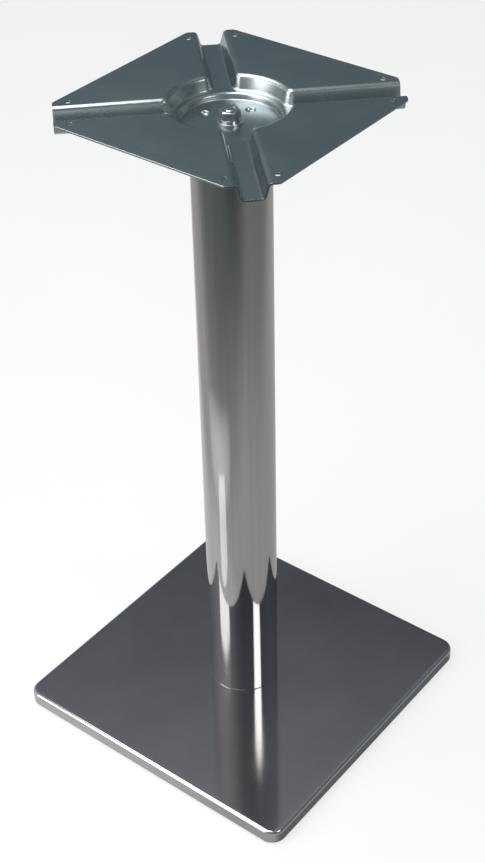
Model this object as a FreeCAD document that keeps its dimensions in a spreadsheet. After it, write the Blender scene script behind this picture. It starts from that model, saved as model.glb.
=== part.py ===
import FreeCAD, Part
import Sketcher
import math
import os

# Pedestal table leg: a square weighted base, a round column and a pressed top plate,
# all pulled together by one threaded rod. Millimetres, origin on the floor under the column, +Z up.

DIMENSIONS = [
    # Whole leg
    ("overall_height", 720),
    # Base cover, a tray of thin polished sheet
    ("base_side", 350),
    ("cover_height", 15),
    ("cover_sheet", 1),
    ("cover_corner_radius", 16),
    ("cover_edge_radius", 4),
    ("floor_gap", 3),
    # Ballast slab inside the cover
    ("ballast_thickness", 10),
    ("ballast_gap", 1.5),
    # Column
    ("column_diameter", 76),
    ("column_wall", 2),
    ("column_edge_radius", 1),
    # Pressed top plate
    ("plate_side", 253),
    ("plate_reach", 156),
    ("plate_sheet", 2),
    ("plate_tip_radius", 6),
    ("channel_depth", 14),
    ("channel_width", 26),
    ("wall_draft", 16),
    ("mouth_radius", 6),
    ("bend_radius", 3),
    ("seat_depth", 20),
    ("seat_diameter", 94),
    ("recess_ledge", 9),
    ("seat_bend_radius", 1.2),
    ("screw_hole_diameter", 5.5),
    ("screw_hole_inset", 10.5),
    ("screw_hole_spacing", 169),
    ("dimple_diameter", 10),
    ("dimple_depth", 2.5),
    ("dimple_draft", 30),
    ("dimple_clearance", 0.3),
    # Threaded rod with its nuts and washers
    ("rod_diameter", 10),
    ("rod_chamfer", 1),
    ("rod_stand", 0.8),
    ("rod_recess", 0.5),
    ("rod_hole_diameter", 11),
    ("thread_clearance", 0.05),
    ("nut_flats", 17),
    ("nut_height", 8),
    ("thin_nut_height", 5),
    ("nut_face_diameter", 16),
    ("nut_chamfer_angle", 30),
    ("washer_diameter", 24),
    ("washer_thickness", 2),
    ("spring_washer_diameter", 18),
    ("spring_washer_thickness", 2.2),
    ("spring_washer_split", 1.2),
    # Disc that centres the foot of the column
    ("disc_thickness", 6),
    ("disc_clearance", 0.15),
    ("disc_chamfer", 1.5),
    # Pocket under the ballast for the lower nut
    ("counterbore_diameter", 36),
    ("counterbore_depth", 4),
    # Levelling feet
    ("foot_inset", 45),
    ("glide_diameter", 28),
    ("glide_edge_radius", 2),
    ("glide_socket_floor", 2),
    ("stud_diameter", 8),
    ("stud_chamfer", 0.8),
    ("stud_end_gap", 0.6),
    ("stud_clearance", 0.08),
]

FOOT_CORNERS = [(-1, -1), (1, -1), (1, 1), (-1, 1)]
HEX_SIDES = 6
WINGS = 4
FULL_TURN = 360
TRIM_MARGIN = 30
WING_MARGIN = 15
CUT_MARGIN = 1
TOUCH = 1e-4

doc = FreeCAD.newDocument("table_leg")
sheet = doc.addObject("Spreadsheet::Sheet", "dims")
for row, (alias, value) in enumerate(DIMENSIONS, start=1):
    sheet.set("A%d" % row, alias)
    sheet.set("B%d" % row, str(value))
    sheet.setAlias("B%d" % row, alias)
doc.recompute()


# Levels above the floor, as expressions
cover_top = "(dims.floor_gap + dims.cover_height)"
ballast_top = "(%s - dims.cover_sheet)" % cover_top
ballast_under = "(%s - dims.ballast_thickness)" % ballast_top
seat_top = "(dims.overall_height - dims.seat_depth)"
seat_under = "(%s - dims.plate_sheet)" % seat_top
spring_washer_level = "(%s + dims.washer_thickness)" % seat_top
top_nut_level = "(%s + dims.spring_washer_thickness)" % spring_washer_level
rod_top = "(%s + dims.nut_height + dims.rod_stand)" % top_nut_level
disc_top = "(%s + dims.disc_thickness)" % cover_top
clamp_nut_level = "(%s + dims.washer_thickness)" % disc_top
bottom_washer_level = "(%s + dims.counterbore_depth - dims.washer_thickness)" % ballast_under
bottom_nut_level = "(%s - dims.thin_nut_height)" % bottom_washer_level
rod_bottom = "(%s + dims.rod_recess)" % bottom_nut_level

# Fits
foot_place = "(dims.base_side / 2 - dims.foot_inset)"
column_inside = "(dims.column_diameter - 2 * dims.column_wall)"
nut_bore = "(dims.rod_diameter + 2 * dims.thread_clearance)"
stud_hole = "(dims.stud_diameter + 2 * dims.stud_clearance)"

# Distance that the back of a bent sheet stands off in plan, for a wall of the given draft
sheet_step = "(dims.plate_sheet * tan((90 - dims.wall_draft) / 2))"
dimple_step = "(dims.plate_sheet * tan((90 - dims.dimple_draft) / 2))"


def number(expression):
    return float(sheet.evalExpression(expression))


def point(x, y):
    return FreeCAD.Vector(x, y, 0)


def origin_part(body, role):
    for feature in body.Origin.OriginFeatures:
        if feature.Role == role:
            return feature
    raise ValueError("no origin feature " + role)


def new_body(label, level, x="0", y="0"):
    body = doc.addObject("PartDesign::Body", label)
    body.Label = label
    body.setExpression("Placement.Base.x", x)
    body.setExpression("Placement.Base.y", y)
    body.setExpression("Placement.Base.z", level)
    return body


def new_sketch(body, name, lift=None, role="XY_Plane"):
    sketch = body.newObject("Sketcher::SketchObject", name)
    sketch.AttachmentSupport = [(origin_part(body, role), "")]
    sketch.MapMode = "FlatFace"
    if lift:
        sketch.setExpression("AttachmentOffset.Base.z", lift)
    return sketch


def drive(sketch, constraint, name, expression):
    index = sketch.addConstraint(constraint)
    sketch.renameConstraint(index, name)
    sketch.setExpression("Constraints." + name, expression)


def add_circle(sketch, name, diameter, x=None, y=None):
    centre = point(number(x) if x else 0, number(y) if y else 0)
    circle = sketch.addGeometry(Part.Circle(centre, FreeCAD.Vector(0, 0, 1), number(diameter) / 2))
    drive(sketch, Sketcher.Constraint("Diameter", circle, number(diameter)), name + "_diameter", diameter)
    if x is None and y is None:
        sketch.addConstraint(Sketcher.Constraint("Coincident", circle, 3, -1, 1))
        return
    if x is None:
        sketch.addConstraint(Sketcher.Constraint("PointOnObject", circle, 3, -2))
    else:
        drive(sketch, Sketcher.Constraint("DistanceX", -1, 1, circle, 3, number(x)), name + "_x", x)
    if y is None:
        sketch.addConstraint(Sketcher.Constraint("PointOnObject", circle, 3, -1))
    else:
        drive(sketch, Sketcher.Constraint("DistanceY", -1, 1, circle, 3, number(y)), name + "_y", y)


def add_polygon(sketch, name, corners):
    places = [point(number(x), number(y)) for x, y in corners]
    lines = []
    for start, end in zip(places, places[1:] + places[:1]):
        lines.append(sketch.addGeometry(Part.LineSegment(start, end)))
    for line, follower in zip(lines, lines[1:] + lines[:1]):
        sketch.addConstraint(Sketcher.Constraint("Coincident", line, 2, follower, 1))
    for index, (line, place, (x, y)) in enumerate(zip(lines, places, corners)):
        drive(sketch, Sketcher.Constraint("DistanceX", -1, 1, line, 1, place.x), "%s_x%d" % (name, index), x)
        drive(sketch, Sketcher.Constraint("DistanceY", -1, 1, line, 1, place.y), "%s_y%d" % (name, index), y)


def add_square(sketch, name, side):
    half = "(%s / 2)" % side
    signs = [("-", "-"), ("", "-"), ("", ""), ("-", "")]
    add_polygon(sketch, name, [(across + half, along + half) for across, along in signs])


def pad(body, sketch, name, length, downwards=False, draft=None):
    feature = body.newObject("PartDesign::Pad", name)
    feature.Profile = sketch
    feature.setExpression("Length", length)
    feature.Reversed = downwards
    if draft:
        feature.setExpression("TaperAngle", draft)
    doc.recompute()
    return feature


def pocket(body, sketch, name, length=None, upwards=False, draft=None):
    before = body.Shape.Volume
    feature = body.newObject("PartDesign::Pocket", name)
    feature.Profile = sketch
    feature.Reversed = upwards
    if length:
        feature.setExpression("Length", length)
    else:
        feature.Type = "ThroughAll"
    if draft:
        feature.setExpression("TaperAngle", draft)
    doc.recompute()
    if not feature.Shape.Volume < before:
        raise ValueError("nothing cut by " + name)
    return feature


def around(body, feature, name, count):
    pattern = body.newObject("PartDesign::PolarPattern", name)
    pattern.Originals = [feature]
    pattern.Axis = (origin_part(body, "Z_Axis"), [""])
    pattern.Angle = FULL_TURN
    pattern.Occurrences = count
    body.Tip = pattern
    doc.recompute()
    return pattern


def edges_of(feature, wanted):
    return ["Edge%d" % n for n, edge in enumerate(feature.Shape.Edges, start=1) if wanted(edge)]


def at_level(edge, level):
    return all(abs(vertex.Z - level) < TOUCH for vertex in edge.Vertexes)


def is_upright(edge):
    first, last = edge.Vertexes[0], edge.Vertexes[-1]
    return math.hypot(first.X - last.X, first.Y - last.Y) < TOUCH and abs(first.Z - last.Z) > TOUCH


def is_ring(edge, radius):
    return isinstance(edge.Curve, Part.Circle) and abs(edge.Curve.Radius - radius) < TOUCH


def dress(body, kind, name, edges, size):
    base = body.Tip
    names = edges_of(base, edges)
    if not names:
        raise ValueError("no edges for " + name)
    feature = body.newObject("PartDesign::" + kind, name)
    feature.Base = (base, names)
    feature.setExpression("Radius" if kind == "Fillet" else "Size", size)
    doc.recompute()
    if "Invalid" in feature.State or feature.Shape.isNull():
        raise ValueError("failed on its edges: " + name)
    return feature


def add_wing(sketch, half_channel, recess_radius, mouth_radius, reach):
    # One raised wing seen from above: two channel sides, the arc of the recess and the rounded mouths between
    gap, ring, mouth = number(half_channel), number(recess_radius), number(mouth_radius)
    far = number(reach)
    quarter, up = math.pi / 4, FreeCAD.Vector(0, 0, 1)
    along = math.sqrt((ring + mouth) ** 2 - (gap + mouth) ** 2)
    slant = quarter - math.atan2(gap + mouth, along)
    centre = point(math.cos(slant) * (ring + mouth), math.sin(slant) * (ring + mouth))
    touch = centre + point(-math.cos(quarter), math.sin(quarter)) * mouth
    end = point(far, far - gap * math.sqrt(2))

    def below(place):
        return point(place.x, -place.y)

    side_a = sketch.addGeometry(Part.LineSegment(end, touch))
    mouth_a = sketch.addGeometry(Part.ArcOfCircle(Part.Circle(centre, up, mouth), 3 * quarter, math.pi + slant))
    recess = sketch.addGeometry(Part.ArcOfCircle(Part.Circle(point(0, 0), up, ring), -slant, slant))
    mouth_b = sketch.addGeometry(
        Part.ArcOfCircle(Part.Circle(below(centre), up, mouth), math.pi - slant, 5 * quarter))
    side_b = sketch.addGeometry(Part.LineSegment(below(touch), below(end)))
    outside = sketch.addGeometry(Part.LineSegment(below(end), end))
    sketch.addConstraint([
        Sketcher.Constraint("Tangent", side_a, 2, mouth_a, 1),
        Sketcher.Constraint("Tangent", mouth_a, 2, recess, 2),
        Sketcher.Constraint("Tangent", recess, 1, mouth_b, 1),
        Sketcher.Constraint("Tangent", mouth_b, 2, side_b, 1),
        Sketcher.Constraint("Coincident", side_b, 2, outside, 1),
        Sketcher.Constraint("Coincident", outside, 2, side_a, 1),
        Sketcher.Constraint("Coincident", recess, 3, -1, 1),
        Sketcher.Constraint("Equal", mouth_a, mouth_b),
        Sketcher.Constraint("Perpendicular", side_a, side_b),
        Sketcher.Constraint("Symmetric", side_a, 2, side_b, 1, -1),
        Sketcher.Constraint("Vertical", outside),
    ])
    drive(sketch, Sketcher.Constraint("Radius", recess, ring), "recess_radius", recess_radius)
    drive(sketch, Sketcher.Constraint("Radius", mouth_a, mouth), "mouth_radius", mouth_radius)
    drive(sketch, Sketcher.Constraint("Distance", -1, 1, side_a, gap), "half_channel", half_channel)
    drive(sketch, Sketcher.Constraint("DistanceX", -1, 1, outside, 1, far), "reach", reach)


def make_top_plate():
    # The plate is pressed from one sheet: four wings stand above a cross of channels and a stepped recess.
    # Heights in this body count down from the face that carries the table top.
    body = new_body("top_plate", "dims.overall_height")
    half_channel = "(dims.channel_width / 2)"
    recess_radius = "(dims.seat_diameter / 2 + dims.recess_ledge)"
    wing_reach = "(dims.plate_side / 2 + %d)" % WING_MARGIN
    blank_side = "(dims.plate_side + %d)" % (2 * TRIM_MARGIN)
    depth, thick = number("dims.channel_depth"), number("dims.plate_sheet")
    inner_bend, outer_bend = "dims.bend_radius", "(dims.bend_radius + dims.plate_sheet)"

    floor_sketch = new_sketch(body, "channel_floor_sketch", "-dims.channel_depth")
    add_square(floor_sketch, "blank", blank_side)
    pad(body, floor_sketch, "channel_floor", "dims.plate_sheet", downwards=True)

    wing_sketch = new_sketch(body, "wing_sketch")
    add_wing(wing_sketch, half_channel, recess_radius, "dims.mouth_radius", wing_reach)
    wing = pad(body, wing_sketch, "wing", "dims.channel_depth", downwards=True, draft="dims.wall_draft")
    around(body, wing, "wings", WINGS)

    hollow_sketch = new_sketch(body, "wing_back_sketch", "-dims.plate_sheet")
    add_wing(hollow_sketch, "(%s + %s)" % (half_channel, sheet_step), "(%s + %s)" % (recess_radius, sheet_step),
             "(dims.mouth_radius - %s)" % sheet_step, wing_reach)
    hollow = pocket(body, hollow_sketch, "wing_back", "dims.channel_depth", draft="dims.wall_draft")
    around(body, hollow, "wing_backs", WINGS)

    limit = number(wing_reach) - CUT_MARGIN

    def bends_at(level):
        return lambda edge: at_level(edge, level) and abs(edge.CenterOfMass.x) < limit \
            and abs(edge.CenterOfMass.y) < limit

    dress(body, "Fillet", "shoulder", bends_at(0), outer_bend)
    dress(body, "Fillet", "shoulder_back", bends_at(-thick), inner_bend)
    dress(body, "Fillet", "channel_foot", bends_at(-depth), inner_bend)
    dress(body, "Fillet", "channel_foot_back", bends_at(-depth - thick), outer_bend)
    add_seat(body, depth, thick)

    trim_sketch = new_sketch(body, "outline_sketch")
    add_square(trim_sketch, "outside", "(%s + %d)" % (blank_side, TRIM_MARGIN))
    side, cut = "(dims.plate_side / 2)", "(dims.plate_reach * sqrt(2) - dims.plate_side / 2)"
    outline = [(side, "-" + cut), (side, cut), (cut, side), ("-" + cut, side),
               ("-" + side, cut), ("-" + side, "-" + cut), ("-" + cut, "-" + side), (cut, "-" + side)]
    add_polygon(trim_sketch, "outline", outline)
    pocket(body, trim_sketch, "outline")
    edge_place = number(side)

    def is_tip(edge):
        middle = edge.CenterOfMass
        return is_upright(edge) and abs(max(abs(middle.x), abs(middle.y)) - edge_place) < TOUCH

    dress(body, "Fillet", "tips", is_tip, "dims.plate_tip_radius")

    screw_sketch = new_sketch(body, "screw_hole_sketch")
    screw_x, screw_y = "(dims.plate_side / 2 - dims.screw_hole_inset)", "(dims.screw_hole_spacing / 2)"
    for name, place in (("left", screw_y), ("right", "-" + screw_y)):
        add_circle(screw_sketch, name, "dims.screw_hole_diameter", screw_x, place)
    around(body, pocket(body, screw_sketch, "screw_hole_pair"), "screw_holes", WINGS)
    return body


def add_seat(body, depth, thick):
    # The middle of the recess drops one more step, to a round seat that stands on the end of the column
    drop = "(dims.seat_depth - dims.channel_depth)"
    back_diameter = "(dims.seat_diameter + 2 * %s)" % sheet_step
    back_sketch = new_sketch(body, "seat_back_sketch", "-(dims.channel_depth + dims.plate_sheet)")
    add_circle(back_sketch, "seat_back", back_diameter)
    pad(body, back_sketch, "seat_back", drop, downwards=True, draft="-dims.wall_draft")
    seat_sketch = new_sketch(body, "seat_sketch", "-dims.channel_depth")
    add_circle(seat_sketch, "seat", "dims.seat_diameter")
    pocket(body, seat_sketch, "seat", drop, draft="-dims.wall_draft")
    inner_bend, outer_bend = "dims.seat_bend_radius", "(dims.seat_bend_radius + dims.plate_sheet)"
    seat = number("dims.seat_depth")

    def rings_at(level):
        return lambda edge: at_level(edge, level) and edge.isClosed()

    dress(body, "Fillet", "seat_rim", rings_at(-depth), outer_bend)
    dress(body, "Fillet", "seat_rim_back", rings_at(-depth - thick), inner_bend)
    dress(body, "Fillet", "seat_foot", rings_at(-seat), inner_bend)
    dress(body, "Fillet", "seat_foot_back", rings_at(-seat - thick), outer_bend)

    # Four pressed dimples reach into the column and centre it
    dimple_back = "(dims.dimple_diameter + 2 * %s)" % dimple_step
    dimple_place = "(%s / 2 - dims.dimple_clearance - %s / 2)" % (column_inside, dimple_back)
    bump_sketch = new_sketch(body, "dimple_back_sketch", "-(dims.seat_depth + dims.plate_sheet)")
    add_circle(bump_sketch, "dimple_back", dimple_back, x=dimple_place)
    bump = pad(body, bump_sketch, "dimple_back", "dims.dimple_depth", downwards=True, draft="-dims.dimple_draft")
    around(body, bump, "dimple_backs", WINGS)
    dimple_sketch = new_sketch(body, "dimple_sketch", "-dims.seat_depth")
    add_circle(dimple_sketch, "dimple", "dims.dimple_diameter", x=dimple_place)
    dimple = pocket(body, dimple_sketch, "dimple", "dims.dimple_depth", draft="-dims.dimple_draft")
    around(body, dimple, "dimples", WINGS)

    hole_sketch = new_sketch(body, "rod_hole_sketch")
    add_circle(hole_sketch, "rod_hole", "dims.rod_hole_diameter")
    pocket(body, hole_sketch, "rod_hole")


def make_ring(label, level, outside, inside, length):
    body = new_body(label, level)
    sketch = new_sketch(body, label + "_sketch")
    add_circle(sketch, "outside", outside)
    add_circle(sketch, "inside", inside)
    pad(body, sketch, label + "_pad", length)
    return body


def make_column():
    body = make_ring("column_tube", cover_top, "dims.column_diameter", column_inside,
                     "(%s - %s)" % (seat_under, cover_top))
    radius = number("dims.column_diameter") / 2
    dress(body, "Fillet", "column_ends", lambda edge: is_ring(edge, radius), "dims.column_edge_radius")
    return body


def make_base_cover():
    body = new_body("base_cover", "dims.floor_gap")
    sketch = new_sketch(body, "cover_sketch")
    add_square(sketch, "cover", "dims.base_side")
    pad(body, sketch, "cover_block", "dims.cover_height")
    top = number("dims.cover_height")
    dress(body, "Fillet", "cover_corners", is_upright, "dims.cover_corner_radius")
    block = dress(body, "Fillet", "cover_edge", lambda edge: at_level(edge, top), "dims.cover_edge_radius")
    open_faces = ["Face%d" % n for n, face in enumerate(block.Shape.Faces, start=1)
                  if abs(face.BoundBox.ZMax) < TOUCH]
    shell = body.newObject("PartDesign::Thickness", "cover_shell")
    shell.Base = (block, open_faces)
    shell.Reversed = True
    shell.setExpression("Value", "dims.cover_sheet")
    doc.recompute()
    hole_sketch = new_sketch(body, "cover_hole_sketch", "dims.cover_height")
    add_circle(hole_sketch, "rod_hole", "dims.rod_hole_diameter")
    pocket(body, hole_sketch, "cover_hole")
    return body


def make_ballast():
    body = new_body("ballast_plate", ballast_under)
    inset = "(dims.cover_sheet + dims.ballast_gap)"
    sketch = new_sketch(body, "ballast_sketch")
    add_square(sketch, "ballast", "(dims.base_side - 2 * %s)" % inset)
    pad(body, sketch, "ballast_slab", "dims.ballast_thickness")
    top = number("dims.ballast_thickness")
    dress(body, "Fillet", "ballast_corners", is_upright, "(dims.cover_corner_radius - %s)" % inset)
    dress(body, "Chamfer", "ballast_edge", lambda edge: at_level(edge, top),
          "(dims.cover_edge_radius - dims.cover_sheet)")
    hole_sketch = new_sketch(body, "ballast_hole_sketch", "dims.ballast_thickness")
    add_circle(hole_sketch, "rod_hole", "dims.rod_hole_diameter")
    for number_on, (across, along) in enumerate(FOOT_CORNERS, start=1):
        add_circle(hole_sketch, "stud_hole_%d" % number_on, stud_hole,
                   "(%d * %s)" % (across, foot_place), "(%d * %s)" % (along, foot_place))
    pocket(body, hole_sketch, "ballast_holes")
    bore_sketch = new_sketch(body, "counterbore_sketch")
    add_circle(bore_sketch, "counterbore", "dims.counterbore_diameter")
    pocket(body, bore_sketch, "counterbore", "dims.counterbore_depth", upwards=True)
    return body


def make_rod():
    body = new_body("tie_rod", rod_bottom)
    sketch = new_sketch(body, "rod_sketch")
    add_circle(sketch, "rod", "dims.rod_diameter")
    pad(body, sketch, "rod_pad", "(%s - %s)" % (rod_top, rod_bottom))
    radius = number("dims.rod_diameter") / 2
    dress(body, "Chamfer", "rod_ends", lambda edge: is_ring(edge, radius), "dims.rod_chamfer")
    return body


def make_nut(label, level, height):
    body = new_body(label, level)
    corner = "(dims.nut_flats / sqrt(3))"
    sketch = new_sketch(body, label + "_sketch")
    corners = []
    for side in range(HEX_SIDES):
        angle = side * FULL_TURN / HEX_SIDES + FULL_TURN / HEX_SIDES / 2
        corners.append(("(%s * cos(%g))" % (corner, angle), "(%s * sin(%g))" % (corner, angle)))
    add_polygon(sketch, "hexagon", corners)
    add_circle(sketch, "bore", nut_bore)
    pad(body, sketch, label + "_pad", height)
    # Both faces are turned down to a round land, which leaves a cone on each corner
    land, outer = "(dims.nut_face_diameter / 2)", "(%s + %d)" % (corner, CUT_MARGIN)
    fall = "((%s - %s) * tan(dims.nut_chamfer_angle))" % (outer, land)
    turned = new_sketch(body, label + "_chamfer_sketch", role="XZ_Plane")
    add_polygon(turned, "upper", [(land, height), (outer, "(%s - %s)" % (height, fall)), (outer, height)])
    lower = [(land, "0"), (outer, "0"), (outer, fall)]
    add_polygon(turned, "lower", lower)
    before = body.Shape.Volume
    groove = body.newObject("PartDesign::Groove", label + "_chamfer")
    groove.Profile = turned
    groove.ReferenceAxis = (turned, ["V_Axis"])
    groove.Angle = FULL_TURN
    doc.recompute()
    if not groove.Shape.Volume < before:
        raise ValueError("no chamfer on " + label)
    return body


def make_spring_washer():
    body = make_ring("top_spring_washer", spring_washer_level, "dims.spring_washer_diameter",
                     "dims.rod_hole_diameter", "dims.spring_washer_thickness")
    split_sketch = new_sketch(body, "split_sketch", "dims.spring_washer_thickness")
    half, outer = "(dims.spring_washer_split / 2)", "(dims.spring_washer_diameter / 2 + %d)" % CUT_MARGIN
    inner = "(dims.rod_hole_diameter / 4)"
    add_polygon(split_sketch, "split", [(inner, "-" + half), (outer, "-" + half), (outer, half), (inner, half)])
    pocket(body, split_sketch, "split")
    return body


def make_disc():
    outside = "(%s - 2 * dims.disc_clearance)" % column_inside
    body = make_ring("centring_disc", cover_top, outside, "dims.rod_hole_diameter", "dims.disc_thickness")
    radius, top = number(outside) / 2, number("dims.disc_thickness")
    dress(body, "Chamfer", "disc_lead", lambda edge: is_ring(edge, radius) and at_level(edge, top),
          "dims.disc_chamfer")
    return body


def make_foot(foot, across, along):
    # A levelling foot is a moulded glide on a threaded stud that screws up into the ballast
    place = ("(%d * %s)" % (across, foot_place), "(%d * %s)" % (along, foot_place))
    glide = new_body("foot_glide_%d" % foot, "0", *place)
    glide_sketch = new_sketch(glide, "glide_sketch_%d" % foot)
    add_circle(glide_sketch, "glide", "dims.glide_diameter")
    pad(glide, glide_sketch, "glide_pad_%d" % foot, ballast_under)
    dress(glide, "Fillet", "glide_edge_%d" % foot, lambda edge: at_level(edge, 0), "dims.glide_edge_radius")
    socket_sketch = new_sketch(glide, "socket_sketch_%d" % foot, ballast_under)
    add_circle(socket_sketch, "socket", stud_hole)
    pocket(glide, socket_sketch, "socket_%d" % foot, "(%s - dims.glide_socket_floor)" % ballast_under)

    stud = new_body("foot_stud_%d" % foot, "dims.glide_socket_floor", *place)
    stud_sketch = new_sketch(stud, "stud_sketch_%d" % foot)
    add_circle(stud_sketch, "stud", "dims.stud_diameter")
    length = "(%s - dims.stud_end_gap - dims.glide_socket_floor)" % ballast_top
    pad(stud, stud_sketch, "stud_pad_%d" % foot, length)
    top = number(length)
    dress(stud, "Chamfer", "stud_end_%d" % foot, lambda edge: at_level(edge, top), "dims.stud_chamfer")
    return [glide, stud]


def make_washer(label, level):
    return make_ring(label, level, "dims.washer_diameter", "dims.rod_hole_diameter", "dims.washer_thickness")


parts = [
    make_top_plate(),
    make_washer("top_flat_washer", seat_top),
    make_spring_washer(),
    make_nut("top_nut", top_nut_level, "dims.nut_height"),
    make_column(),
    make_rod(),
    make_disc(),
    make_washer("base_clamp_washer", disc_top),
    make_nut("base_clamp_nut", clamp_nut_level, "dims.nut_height"),
    make_base_cover(),
    make_ballast(),
    make_washer("bottom_washer", bottom_washer_level),
    make_nut("bottom_nut", bottom_nut_level, "dims.thin_nut_height"),
]
for foot, (across, along) in enumerate(FOOT_CORNERS, start=1):
    parts += make_foot(foot, across, along)

doc.recompute()
for item in doc.Objects:
    if "Invalid" in item.State or "Error" in item.State:
        raise ValueError("failed: " + item.Name)
for item in parts:
    if item.Shape.isNull() or not item.Shape.isValid() or len(item.Shape.Solids) != 1:
        raise ValueError("bad shape: " + item.Label)
os.makedirs("parts", exist_ok=True)
for item in parts:
    item.Shape.exportStep("parts/%s.step" % item.Label)
    print(item.Label, round(item.Shape.Volume))
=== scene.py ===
import math

import bmesh
import bpy
from mathutils import Matrix, Vector


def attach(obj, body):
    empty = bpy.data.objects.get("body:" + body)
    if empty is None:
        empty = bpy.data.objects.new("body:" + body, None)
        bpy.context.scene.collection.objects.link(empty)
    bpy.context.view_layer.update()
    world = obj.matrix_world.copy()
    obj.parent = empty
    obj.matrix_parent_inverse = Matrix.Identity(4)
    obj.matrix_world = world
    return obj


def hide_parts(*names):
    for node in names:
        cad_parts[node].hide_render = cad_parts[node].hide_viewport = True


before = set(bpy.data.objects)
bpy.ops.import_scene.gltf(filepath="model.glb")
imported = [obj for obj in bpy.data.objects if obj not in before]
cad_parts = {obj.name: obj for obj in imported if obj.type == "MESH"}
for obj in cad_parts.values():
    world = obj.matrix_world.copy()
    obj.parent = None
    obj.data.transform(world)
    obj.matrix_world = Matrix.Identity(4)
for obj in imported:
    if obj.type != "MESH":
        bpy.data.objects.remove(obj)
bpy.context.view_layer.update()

scene = bpy.context.scene
origin = (0, 0, 0)
upAxis = (0, 0, 1)
downAxis = (0, 0, -1)
fullTurn = 2 * math.pi
diagonal = math.pi / 4
tiny = 1e-6  # metres, for finding vertices by place
near = 10 * tiny
straight = 0.999  # a normal's height from here on counts as straight up
easeSteps = 2
easeAngle = 60  # degrees; sharper edges than this get a fine rounding
smoothAngle = 32  # degrees; sharper folds than this keep a crisp edge
seedSide = 1  # mm, the small face that a drawn line starts from


def mm(*lengths):
    return lengths[0] / 1000 if len(lengths) == 1 else tuple(length / 1000 for length in lengths)


# Small helpers for modelling by operator

def clearSelection():
    if bpy.context.object and bpy.context.object.mode != "OBJECT":
        bpy.ops.object.mode_set(mode="OBJECT")
    bpy.ops.object.select_all(action="DESELECT")


def activate(piece):
    clearSelection()
    bpy.context.view_layer.objects.active = piece
    piece.select_set(True)


def applyTransform():
    bpy.ops.object.transform_apply(location=True, rotation=True, scale=True)


def keepPrimitive(name):
    piece = bpy.context.object
    piece.name = name
    piece.data.name = name
    applyTransform()
    return piece


def edit(piece):
    activate(piece)
    bpy.context.tool_settings.mesh_select_mode = (True, False, False)
    bpy.ops.object.mode_set(mode="EDIT")


def leaveEdit():
    bpy.ops.object.mode_set(mode="OBJECT")


def selectAll():
    bpy.ops.mesh.select_all(action="SELECT")


def pick(piece, kind, wanted):
    bpy.context.tool_settings.mesh_select_mode = [kind == k for k in ("verts", "edges", "faces")]
    bpy.ops.mesh.select_all(action="DESELECT")
    mesh = bmesh.from_edit_mesh(piece.data)
    for part in getattr(mesh, kind):
        if wanted(part):
            part.select_set(True)
    mesh.select_flush_mode()
    bmesh.update_edit_mesh(piece.data)


def applyModifier(piece, kind, **settings):
    activate(piece)
    modifier = piece.modifiers.new(kind.title(), kind)
    for key, value in settings.items():
        setattr(modifier, key, value)
    bpy.ops.object.modifier_apply(modifier=modifier.name)


def thicken(piece, thickness):
    # the sheet grows inwards from the drawn face
    applyModifier(piece, "SOLIDIFY", thickness=mm(thickness), offset=-1, use_even_offset=True)


def easeEdges(piece, width, angle=easeAngle):
    applyModifier(piece, "BEVEL", width=mm(width), segments=easeSteps, limit_method="ANGLE",
                  angle_limit=math.radians(angle), use_clamp_overlap=False)


def carve(piece, cutter, operation="DIFFERENCE"):
    applyModifier(piece, "BOOLEAN", operation=operation, object=cutter, solver="EXACT")
    bpy.data.objects.remove(cutter)


def joinPieces(first, *others):
    clearSelection()
    for other in others:
        other.select_set(True)
    first.select_set(True)
    bpy.context.view_layer.objects.active = first
    bpy.ops.object.join()
    return first


def pullVertex(step):
    bpy.ops.mesh.extrude_vertices_move(TRANSFORM_OT_translate={"value": step})


def pullEdges(step):
    bpy.ops.mesh.extrude_region_move(TRANSFORM_OT_translate={"value": step})


def drawLine(name, points):
    # one vertex, pulled from point to point
    clearSelection()
    bpy.ops.mesh.primitive_plane_add(size=mm(seedSide), location=points[0])
    line = keepPrimitive(name)
    edit(line)
    selectAll()
    bpy.ops.mesh.merge(type="CENTER")
    for start, end in zip(points, points[1:]):
        pullVertex(Vector(end) - Vector(start))
    return line


def spinAbout(centre, angle, steps):
    # positive is counter-clockwise seen from above
    bpy.ops.mesh.spin(steps=steps, angle=-angle, center=centre, axis=upAxis)


def copyRound(count):
    # everything drawn so far, repeated round the middle axis
    selectAll()
    copies = count - 1
    angle = fullTurn * copies / count
    bpy.ops.mesh.spin(steps=copies, dupli=True, angle=angle, center=origin, axis=upAxis)


def weld():
    selectAll()
    bpy.ops.mesh.remove_doubles(threshold=tiny)


def closeUp():
    weld()
    bpy.ops.mesh.normals_make_consistent(inside=False)


def turned(name, outline, steps, closed=True):
    # outline is (radius, height) in mm, turned about the middle axis
    points = [mm(radius, 0, height) for radius, height in outline]
    if closed:
        points.append(points[0])
    piece = drawLine(name, points)
    weld()
    selectAll()
    spinAbout(origin, fullTurn, steps)
    closeUp()
    bpy.ops.mesh.dissolve_degenerate(threshold=tiny)
    leaveEdit()
    return piece


def arcPoints(centre, radius, start, end, steps):
    points = []
    for step in range(steps + 1):
        angle = math.radians(start + (end - start) * step / steps)
        points.append((centre[0] + radius * math.cos(angle), centre[1] + radius * math.sin(angle)))
    return points


def smoothShade(piece, angle=smoothAngle):
    activate(piece)
    bpy.ops.object.shade_smooth_by_angle(angle=math.radians(angle))
    applyModifier(piece, "WEIGHTED_NORMAL", keep_sharp=True)


def hand(piece, body, node, finish):
    # the finished piece takes over from its solid
    piece.data.materials.clear()
    piece.data.materials.append(finish)
    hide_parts(node)
    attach(piece, body)


# Finishes. A noise is (scale, detail, roughness), a relief is (depth in metres, strength)

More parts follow.
